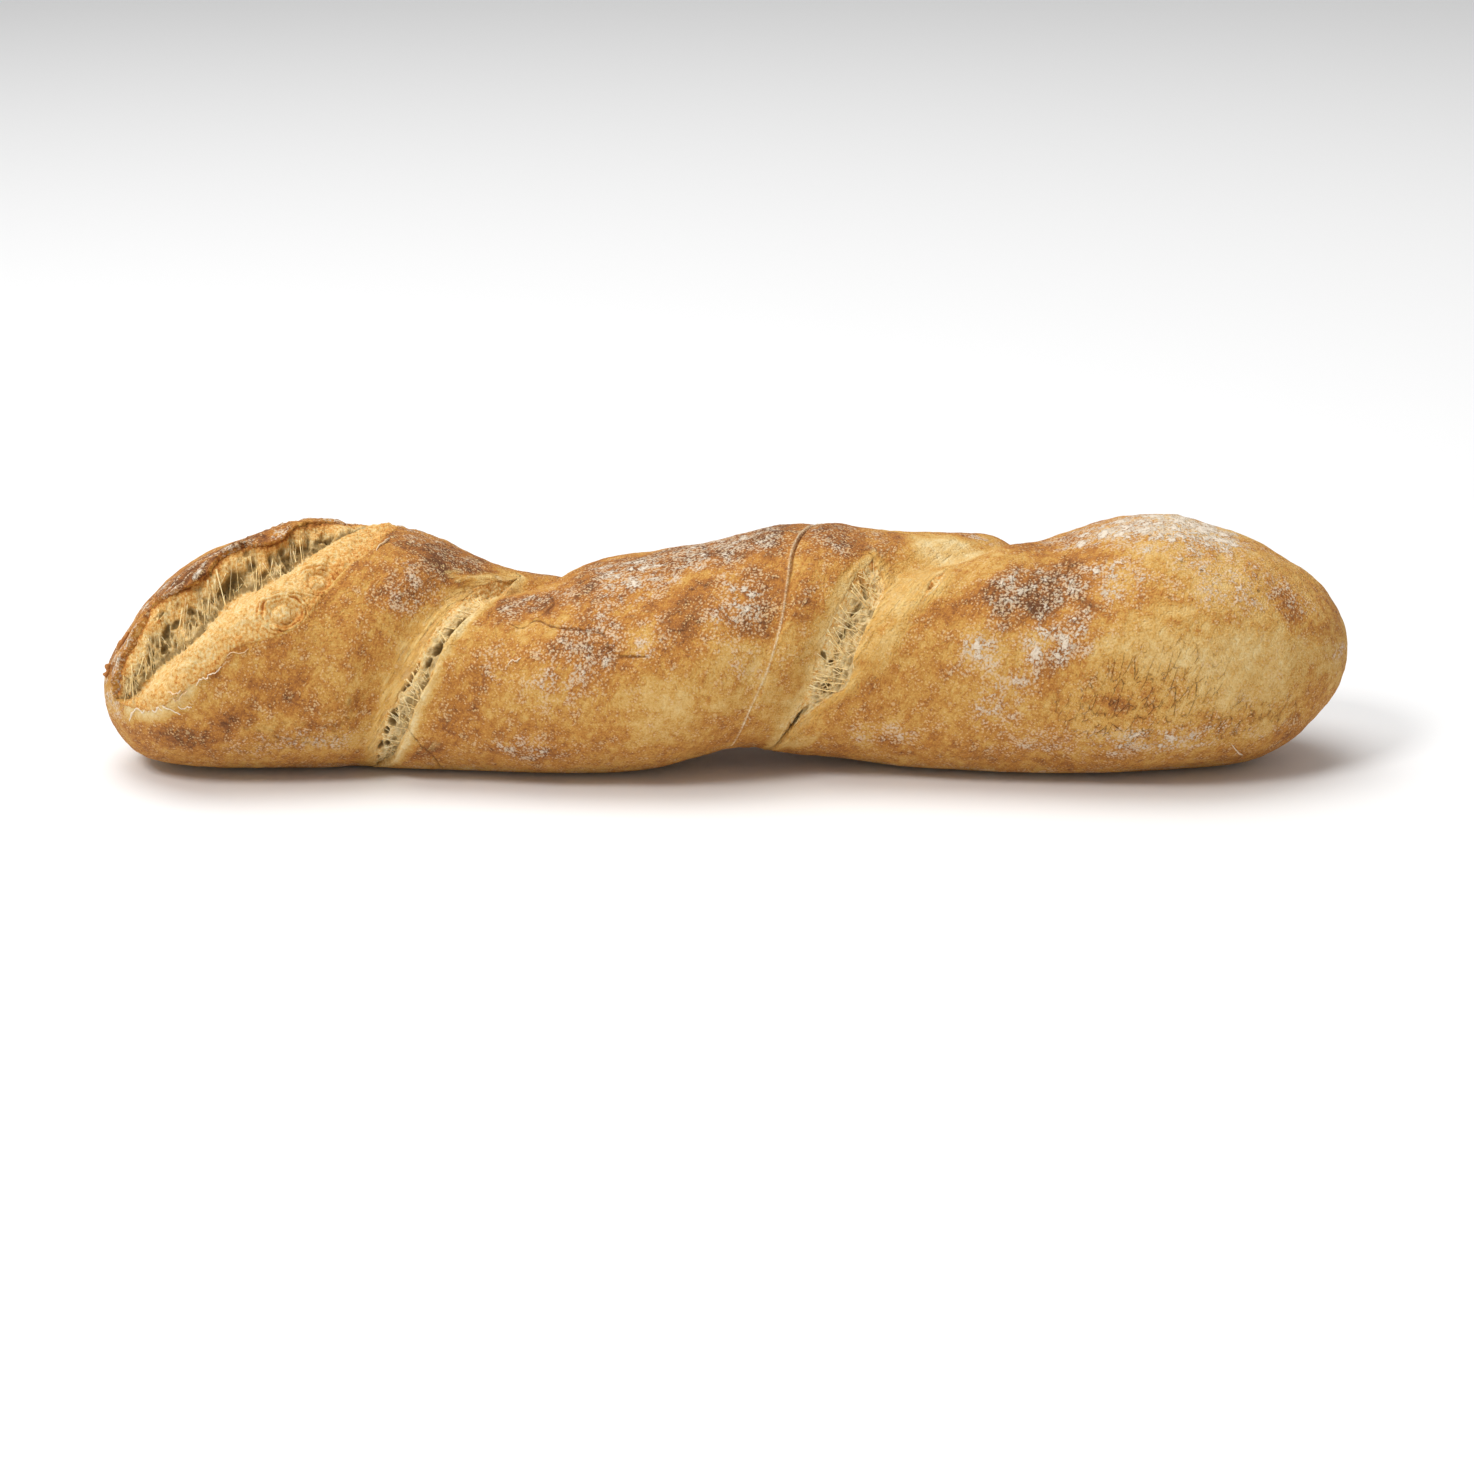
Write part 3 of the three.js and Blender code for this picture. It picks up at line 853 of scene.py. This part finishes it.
def finish_piece(name, bm, material, attributes=None, drawn=None):
    """A new object from a mesh, with a value for each vert in each attribute and in the drawn UV map."""
    mesh = bpy.data.meshes.new(name)
    bm.to_mesh(mesh)
    bm.free()
    mesh.polygons.foreach_set("use_smooth", [True] * len(mesh.polygons))
    count = len(mesh.vertices)
    for label, values in (attributes or {}).items():
        store(mesh, label, np.pad(values, (0, count - len(values))))
    if drawn is not None:
        padded = np.pad(drawn, ((0, count - len(drawn)), (0, 0)))
        lay_out(mesh, padded[corners_of(mesh)])
    mesh.materials.append(material)
    piece = bpy.data.objects.new(name, mesh)
    scene.collection.objects.link(piece)
    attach(piece, "root")


ear_bm, points, facing, _, _, flat = torn_patch(ear, EAR_GRAIN)
inset, rim_nearer, from_rim, from_sill = ear.measure(points)
ear_foot = lay_line(EAR_FOOT)
from_foot = reach_from(points, ear_foot)
is_wall = is_inside(flat[:, 0], flat[:, 1], EAR_RIM, EAR_FOOT) | (from_rim[0] < 0.6 * from_foot[0])
signed_foot = from_foot[0] * np.where(is_wall, 1, -1)
downwards = MEAN_RADIUS * np.radians(flat[:, 1])
hanging = flat[:, 0] + 0.12 * downwards + 1.1 * drum(7, points, 34)
fibres_on = on_sheet(hanging / 1.7, downwards / 5.5)
thin_fibres = on_sheet(hanging, downwards / 8)
wall_share = from_rim[0] / (from_rim[0] + from_foot[0] + 0.01)
swell_share = from_foot[0] / (from_foot[0] + from_sill[0] + 0.01)
bubbles = cell_walls(1.0, fibres_on + 0.25 * drum(3, points, 20)[:, None], 1)
small_bubbles = cell_walls(0.42, fibres_on, 2)
strings = 1 - np.abs(drum(0.6, thin_fibres, 21))
folds = on_sheet(hanging, downwards / 2.2)
draped = drum(3.6, folds, 33) + 0.5 * drum(1.8, folds, 35)
membrane = soft_step(-0.25, 0.35, draped + 0.5 - 0.9 * wall_share)
wall_height = -1.3 - 0.5 * wall_share + 0.9 * membrane + 0.5 * draped - 0.25 * small_bubbles
wall_height -= (0.3 + 1.2 * wall_share) * bubbles * (1 - 0.75 * membrane)
wall_height += 0.5 * strings * (1 - 0.6 * membrane) + 0.7 * drum(5, points, 22) + 0.3 * drum(1.1, points, 36)
grainy = 0.3 * drum(1.0, points, 23) + 0.5 * drum(2.6, points, 24) + 0.8 * drum(8, points, 25)
grainy += 0.3 * soft_step(-128, -112, points[:, 0]) * drum(1.8, points, 29)
dome = -2.7 + 3.1 * soft_step(-0.1, 0.55, swell_share) - 0.3 * soft_step(0.6, 1.0, swell_share)
swell_height = dome + grainy
to_wall = soft_step(-0.7, 0.7, signed_foot + 0.5 * drum(2.2, points, 26))
height = swell_height + (wall_height - swell_height) * to_wall
hollow = np.zeros(len(points))
for spot in EAR_CAVITIES:
    hollow = np.maximum(hollow, pit(flat, spot, 0.22 * drum(1.6, points, 27)) * 0.6 * spot[5])
height -= hollow
swirled = np.zeros(len(points))
for x, turn, size in (SWIRL, SECOND_SWIRL):
    heart, _ = on_skin(x, turn)
    reach = np.linalg.norm((points - heart) / (1.25, 1, 1), axis=1) + 0.9 * drum(4, points, 28)
    faint = soft_step(-0.5, 0.5, drum(3.5, points, 31))
    rings = np.sin(reach * 2 * np.pi / 1.15 + 2.0 * drum(2.5, points, 32)) * bell(reach - size, 1.6) * faint
    swirled = np.maximum(swirled, np.maximum(-rings, 0) * (1 - to_wall))
    height += (0.75 * rings - 1.2 * bell(reach - size * 0.6, 0.8)) * (1 - to_wall)
height += dough_lumps(points)
height -= np.where(rim_nearer, 2.4 * soft_step(0.2, -1.3, inset), 1.6 * soft_step(0.9, -1.2, inset))
# Painted shade: the crumb is darkened in its hollows and air cells, over the wall under the flap, most
# towards its foot, and in a band along the foot.
deep = hollow / 2.2 + to_wall * (0.24 + 0.6 * (1 - membrane) * (0.3 + 0.7 * bubbles) * (0.3 + wall_share))
deep += 0.4 * bell(signed_foot - 0.6, 0.9)
deep = np.clip(deep, 0, 1)
gold = 0.5 * bell(from_rim[0], 1.6) + 0.2 * to_wall + (1 - to_wall) * (0.3 + 0.9 * swirled)
gold += to_wall * (0.3 * membrane * (1 - wall_share) - 0.25 * (strings - 0.7))
gold += (1 - to_wall) * 0.22 * bell(from_sill[0], 4.0) + 0.12 * soft_step(-132, -112, points[:, 0])
close_patch(ear_bm, points, facing, height, EAR_CRUMB_DEPTH)
crumb_trees = {"ear": BVHTree.FromBMesh(ear_bm)}

paint = Paint("crumb")
at = paint.place()
fibre = paint.noise(paint.drawn(14.0, 1.4), 1.0, 3, 0.6)
grain = paint.noise(at, 1100, 3, 0.7)
patchy = paint.noise(at, 240, 2)
golden = paint.weigh(paint.attribute("gold"), (grain, 2.2), (patchy, 0.7), (fibre, 0.3))
paint.colour = paint.ramp(golden, [
    (0.0, (234, 208, 154)), (0.3, (228, 188, 120)), (0.55, (216, 160, 84)), (0.8, (200, 130, 60)),
    (1.0, (164, 100, 44)),
])
# Painted shade: an olive dark laid over the crumb in its hollows and under the flap.
shaded = paint.weigh(paint.attribute("deep"), (fibre, 0.5), (grain, 0.3))
paint.cover(paint.spread(shaded, 0.1, 0.9, 0.0, 0.9), linear(134, 108, 64))
paint.surface({
    "Base Color": paint.colour, "Roughness": 0.7, "Specular IOR Level": 0.25,
    "Subsurface Weight": 0.15, "Subsurface Radius": (1.0, 0.6, 0.3), "Subsurface Scale": 0.0012,
    "Normal": paint.bump(paint.weigh(grain, (fibre, 1.2)), 0.0005),
})
crumb_material = paint.material
hanging_map = np.column_stack([hanging, downwards])
finish_piece("ear_crumb", ear_bm, crumb_material, {"deep": deep, "gold": gold}, hanging_map)

# ----------------------------------------------------------------------------------------------------
# The crumb in the tears of the twist. Where the skin was stretched past its limit it split, and a web of
# moist, stringy crumb shows, paler than the crust. It is drawn out the same way as the dough.

LEFT_SLITS = [
    (-77.6, 35.0, 2.4, 0.8, 55, 3.4), (-80.8, 29.0, 1.8, 0.7, 58, 2.8), (-84.7, 19.5, 3.4, 1.0, 60, 3.8),
    (-87.4, 12.3, 2.2, 0.7, 66, 3.0), (-93.0, 3.5, 6.0, 0.8, 63, 3.4), (-98.3, -8.5, 2.6, 0.9, 70, 2.4),
    (-98.9, -18.0, 4.4, 1.3, 75, 2.8), (-102.3, -14.3, 1.8, 0.8, 70, 2.0), (-104.6, -36, 2.8, 1.4, 70, 3.2),
    (-101.8, -34, 1.6, 0.8, 80, 2.6), (-101.5, -26, 1.8, 0.8, 75, 2.2), (-106.2, -47, 2.2, 1.2, 70, 2.8),
    (-86.0, 33.0, 2.2, 0.8, 70, 1.6), (-89.0, 24.0, 2.0, 0.6, 66, 1.2), (-97.0, -3.0, 3.0, 0.7, 66, 1.6),
]
RIGHT_SLITS = [
    (22.7, -32, 12.0, 0.45, 67, 1.8), (46.0, 51.5, 3.8, 1.0, 102, 1.3), (46.8, 46.0, 1.6, 0.9, 60, 1.1),
    (43.6, 37.5, 4.2, 0.9, 62, 0.9), (33.6, 12.5, 2.8, 0.8, 104, 1.3), (35.6, 8.5, 1.6, 0.7, 70, 1.2),
    (33.6, -4.5, 3.4, 1.0, 72, 1.4), (39.0, 22.0, 3.4, 0.8, 66, 0.9), (37.5, 4.0, 1.8, 1.0, 40, 0.9),
    (41.5, 29.0, 2.4, 0.7, 75, 0.8),
]
SMALL_SLITS = [(66, 47, 2.0, 0.7, 64, 1.4), (69, 55, 1.6, 0.6, 64, 1.2)]
TEAR_GRAIN = 0.4
TEAR_CRUMB_DEPTH = 9.0

# For each tear: its slits, its depth at the outer and at the inner edge, how golden it is, the seed of
# its random lumps and how much olive dark lies on all of it, as the crumb's grey and painted shade.
TEARS = (
    ("left_tear_crumb", left_tear, LEFT_SLITS, 0.2, 1.6, 0.1, 30, 0.12),
    ("right_tear_crumb", right_tear, RIGHT_SLITS, 0.3, 1.0, 0.08, 40, 0.03),
    ("small_tear_crumb", small_tear, SMALL_SLITS, 0.1, 0.3, 0.0, 50, 0.0),
)
for name, tear, slits, outer_depth, inner_depth, golden_base, seed, grey_and_shade in TEARS:
    tear_bm, points, facing, along_mm, across_mm, flat = torn_patch(tear, TEAR_GRAIN)
    inset, outer_nearer, from_outer, from_inner = tear.measure(points)
    drawn_cells = on_sheet(along_mm / 4.5, across_mm / 1.8)
    drawn_strings = on_sheet((along_mm + across_mm) / 6, across_mm)
    share = from_outer[0] / (from_outer[0] + from_inner[0] + 0.01)
    web = cell_walls(1.0, drawn_cells + 0.3 * drum(3, points, seed)[:, None], seed)
    fine_web = cell_walls(0.45, drawn_cells, seed + 1)
    strings = 1 - np.abs(drum(0.5, drawn_strings, seed + 2))
    webbed = soft_step(0.0, 0.5, share + 0.3 * drum(8, points, seed + 3))
    height = -outer_depth - (inner_depth - outer_depth) * soft_step(0.1, 0.9, share)
    height -= webbed * (0.7 * web + 0.15 * fine_web) * soft_step(0.2, 1.6, inset)
    height += 0.35 * strings + 0.25 * drum(2.5, points, seed + 4) + dough_lumps(points)
    hollow = np.zeros(len(points))
    for spot in slits:
        hollow = np.maximum(hollow, pit(flat, spot, 0.25 * drum(1.3, points, seed + 5)) * spot[5])
    height -= hollow + np.where(
        outer_nearer, 1.0 * soft_step(1.6, -1.2, inset), 2.2 * soft_step(0.2, -1.3, inset)
    )
    # Painted shade: the crumb is darkened in its slits and cells and towards the deeper inner edge, though
    # not at that edge itself, and less at the crown.
    deep = np.clip(hollow / 1.9 + 0.3 * webbed * web + 0.35 * soft_step(0.1, 0.75, share), 0, 1)
    at_crown = soft_step(34, 56, flat[:, 1])
    deep = np.clip(deep + grey_and_shade, 0, 1) * soft_step(0.1, 1.0, from_inner[0]) * (1 - 0.6 * at_crown)
    gold = golden_base + 0.5 * bell(from_outer[0], 2.0) + 0.2 * at_crown
    close_patch(tear_bm, points, facing, height, TEAR_CRUMB_DEPTH)
    crumb_trees[name] = BVHTree.FromBMesh(tear_bm)
    drawn_map = np.column_stack([across_mm, along_mm])
    finish_piece(name, tear_bm, crumb_material, {"deep": deep, "gold": gold}, drawn_map)

# ----------------------------------------------------------------------------------------------------
# Strands of gluten. Where the loaf burst and tore, thin strings of dough were drawn out across the
# openings, and they set there as they baked. They end in the crumb at both sides.


def straight_bar(name, cuts, shape, **sizes):
    """A closed bar along x, 1 long, made from a plain shape and cut across so that it can be bent."""
    bm = bmesh.new()
    shape(bm, **sizes)
    lengthwise = [e for e in bm.edges if abs(e.verts[0].co.x - e.verts[1].co.x) > 0.5]
    bmesh.ops.subdivide_edges(bm, edges=lengthwise, cuts=cuts)
    mesh = bpy.data.meshes.new(name)
    bm.to_mesh(mesh)
    bm.free()
    return mesh


def lay_along(bm, straight, path, upright, thick, tall):
    """Adds a copy of a straight mesh that follows a path in mm. Thick and tall give its size there."""
    before = len(bm.verts)
    bm.from_mesh(straight)
    bm.verts.ensure_lookup_table()
    path, upright = np.array(path), np.array(upright)
    knots = np.linspace(0, 1, len(path))
    for vert in bm.verts[before:]:
        share = vert.co.x + 0.5
        spot, ahead, behind = (
            np.array([np.interp(np.clip(share + step, 0, 1), knots, path[:, i]) for i in range(3)])
            for step in (0, 0.04, -0.04)
        )
        up = np.array([np.interp(share, knots, upright[:, i]) for i in range(3)])
        sideways = np.cross(ahead - behind, up)
        sideways /= max(np.linalg.norm(sideways), 1e-6)
        place = spot + sideways * vert.co.y * thick(share) + up * vert.co.z * tall(share)
        vert.co = place * MILLIMETRE


def top_of(tree, x, angle):
    """The outermost place of a piece at this distance along the loaf and this angle, and outwards."""
    turn = math.radians(angle)
    outwards = Vector((0.0, -math.cos(turn), math.sin(turn)))
    heart = Vector((x, 0.0, axis_height(x))) * MILLIMETRE
    place = tree.ray_cast(heart + outwards * CLEAR_OF_LOAF, -outwards)[0]
    return (None if place is None else np.array(place) / MILLIMETRE), np.array(outwards)


def between(first, second, share, mix):
    """A point on the loaf between two lines of the skin, at the same share of the length of both."""
    lines = [smooth_line(line, 8) for line in (first, second)]
    spots = [
        np.array([np.interp(share, np.linspace(0, 1, len(line)), line[:, i]) for i in range(2)])
        for line in lines
    ]
    return spots[0] + (spots[1] - spots[0]) * mix


# Where the strands are: in which piece, between which lines, how many, the ranges of their place along
# the opening and of both their ends across it, and how far they slant.
STRAND_FIELDS = (
    ("ear", EAR_RIM, EAR_FOOT, 76, (0.06, 0.86), (0.1, 0.7), (0.75, 1.3), 0.012),
    ("left_tear_crumb", LEFT_TEAR_OUTER, LEFT_TEAR_INNER, 46, (0.1, 0.42), (0.0, 0.5), (0.6, 1.0), 0.02),
    ("left_tear_crumb", LEFT_TEAR_OUTER, LEFT_TEAR_INNER, 16, (0.5, 0.8), (0.3, 0.6), (0.8, 1.0), 0.02),
    ("right_tear_crumb", RIGHT_TEAR_OUTER, RIGHT_TEAR_INNER, 80, (0.3, 0.92), (0.0, 0.6), (0.4, 1.0), 0.035),
)
CLEAR_OF_LOAF = 0.09
STRAND_POINTS = 7
luck = random.Random(21)
tube = straight_bar(
    "straight_tube", 5, bmesh.ops.create_cone, cap_ends=True, segments=5, radius1=1, radius2=1, depth=1,
    matrix=Matrix.Rotation(math.pi / 2, 4, "Y"),
)
strand_bm = bmesh.new()
for piece_name, first, second, count, along_range, near_range, far_range, slant in STRAND_FIELDS:
    for _ in range(count):
        share = luck.uniform(*along_range)
        start = between(first, second, share, luck.uniform(*near_range))
        end = between(first, second, share + luck.gauss(0, slant), luck.uniform(*far_range))
        if piece_name == "ear":
            end[0] = start[0] + luck.gauss(0.6, 1.6)
        middle = (start + end) / 2 + (luck.gauss(0, 0.3), luck.gauss(0, 0.5))
        path, upright = [], []
        for mix in np.linspace(0, 1, STRAND_POINTS):
            flat_spot = (1 - mix) ** 2 * start + 2 * mix * (1 - mix) * middle + mix**2 * end
            place, outwards = top_of(crumb_trees[piece_name], *flat_spot)
            if place is not None:
                path.append(place)
                upright.append(outwards)
        if len(path) < STRAND_POINTS:
            continue
        path, upright = np.array(path), np.array(upright)
        straight_path = path[0] + (path[-1] - path[0]) * np.linspace(0, 1, STRAND_POINTS)[:, None]
        clear = np.einsum("ij,ij->i", path - straight_path, upright)
        lifted = straight_path + upright * (np.maximum(clear, 0) * 0.5)[:, None]
        lifted += upright * 0.15 * np.sin(np.linspace(0, np.pi, STRAND_POINTS))[:, None]
        radius = 0.08 + 0.16 * luck.random() ** 2
        width = lambda share, radius=radius: radius * (0.75 + 1.3 * abs(2 * share - 1) ** 3)
        lay_along(strand_bm, tube, lifted, upright, width, width)
bmesh.ops.recalc_face_normals(strand_bm, faces=strand_bm.faces)

paint = Paint("gluten")
paint.surface({
    "Base Color": paint.ramp(paint.noise(paint.place(), 500, 2), [
        (0.3, (246, 226, 176)), (0.55, (240, 206, 140)), (0.75, (226, 176, 100)),
    ]),
    "Roughness": 0.55,
    "Subsurface Weight": 0.2, "Subsurface Radius": (1.0, 0.7, 0.4), "Subsurface Scale": 0.001,
})
finish_piece("gluten_strands", strand_bm, paint.material)

# ----------------------------------------------------------------------------------------------------
# Flakes of crust. Along the ear the floured outer skin came loose in thin shreds, which curled up as they
# dried. They are the same crust, stuck on by one edge.

# Each flake is a line of the skin, how tall it stands, how far it leans and how brown it is.
FLAKES = (
    ([[-181.5, -15], [-180, -9.5], [-178.8, -6.5], [-177.6, -5.4], [-176, -7], [-174.8, -4.6]],
     0.9, 0.5, 0.0),
    ([[-173.6, -6], [-172.3, -4], [-171, -5.6], [-169.8, -3.8], [-168.6, -4.6]], 0.8, 0.4, 0.0),
    ([[-168.4, -1.6], [-166.4, -4], [-164.6, -5.4], [-162.6, -7.4]], 0.9, 0.5, 0.0),
    ([[-163, -3.6], [-161.6, -5.2], [-160, -4.4], [-158.8, -5.4]], 0.6, 0.4, 0.0),
    ([[-166.4, 1.2], [-164.6, 2.8], [-162.8, 2.2], [-161.4, 4]], 1.7, 0.7, 0.2),
    ([[-164.6, 0.6], [-163, -0.6], [-161.2, 1.6], [-159.6, 2.8]], 1.3, 0.6, 0.3),
    ([[-157, 4], [-155.6, 6], [-153.8, 6.4], [-152.4, 8.4], [-150.4, 8.8], [-149, 11.4]], 1.7, 0.7, 0.1),
    ([[-147.8, 15], [-145.4, 16.8], [-143, 16.4], [-140.6, 18]], 0.8, 0.4, 0.3),
    ([[-104.6, 68], [-103.4, 73], [-102.4, 76.5], [-101.6, 83]], 1.3, 0.5, 0.25),
    ([[157.4, -35], [159, -40], [161, -47]], 1.2, 0.6, 0.15),
    ([[-62, 11.2], [-60.6, 13.2], [-59.4, 12.6], [-58, 14]], 0.7, 0.4, 0.15),
    ([[-190.6, 14], [-189.4, 20], [-188.4, 26]], 2.0, 0.2, 0.7),
    ([[-186.4, 36], [-184.6, 42], [-183, 48]], 2.2, 0.2, 0.7),
)
FLAKE_PEAKS = 9
FLAKE_THICKNESS = 0.22
strip = straight_bar(
    "straight_strip", 14, bmesh.ops.create_cube, size=1, matrix=Matrix.Translation((0, 0, 0.5)),
)
flake_bm = bmesh.new()
flake_brown = []
for line, height, lean, brown in FLAKES:
    path, upright = [], []
    for x, angle in smooth_line(line, 4):
        place, normal = on_skin(x, angle)
        lumps = dough_lumps([place])[0]
        path.append(place + normal * (lumps - 0.25) + np.array([luck.gauss(0, 0.12) for _ in range(3)]))
        leaning = normal + lean * np.array([luck.gauss(0, 0.3), 0, 0.6 + luck.gauss(0, 0.5)])
        upright.append(leaning / np.linalg.norm(leaning))
    peaks = [luck.uniform(0.35, 1.0) for _ in range(FLAKE_PEAKS)]
    tall = lambda share, peaks=peaks, height=height: 0.25 + height * (
        np.interp(share, np.linspace(0, 1, FLAKE_PEAKS), peaks) * min(1, 6 * share, 6 - 6 * share)
    )
    before = len(flake_bm.verts)
    lay_along(flake_bm, strip, path, upright, lambda share: FLAKE_THICKNESS, tall)
    flake_brown += [brown] * (len(flake_bm.verts) - before)
bmesh.ops.recalc_face_normals(flake_bm, faces=flake_bm.faces)

paint = Paint("flakes")
dusty = paint.weigh(paint.attribute("brown"), (paint.noise(paint.place(), 900, 2), 0.5))
paint.surface({
    "Base Color": paint.ramp(dusty, [
        (0.0, (244, 228, 202)), (0.3, (236, 204, 158)), (0.6, (200, 138, 76)), (0.9, (146, 90, 46)),
    ]),
    "Roughness": 0.8,
})
finish_piece("crust_flakes", flake_bm, paint.material, {"brown": np.array(flake_brown)})
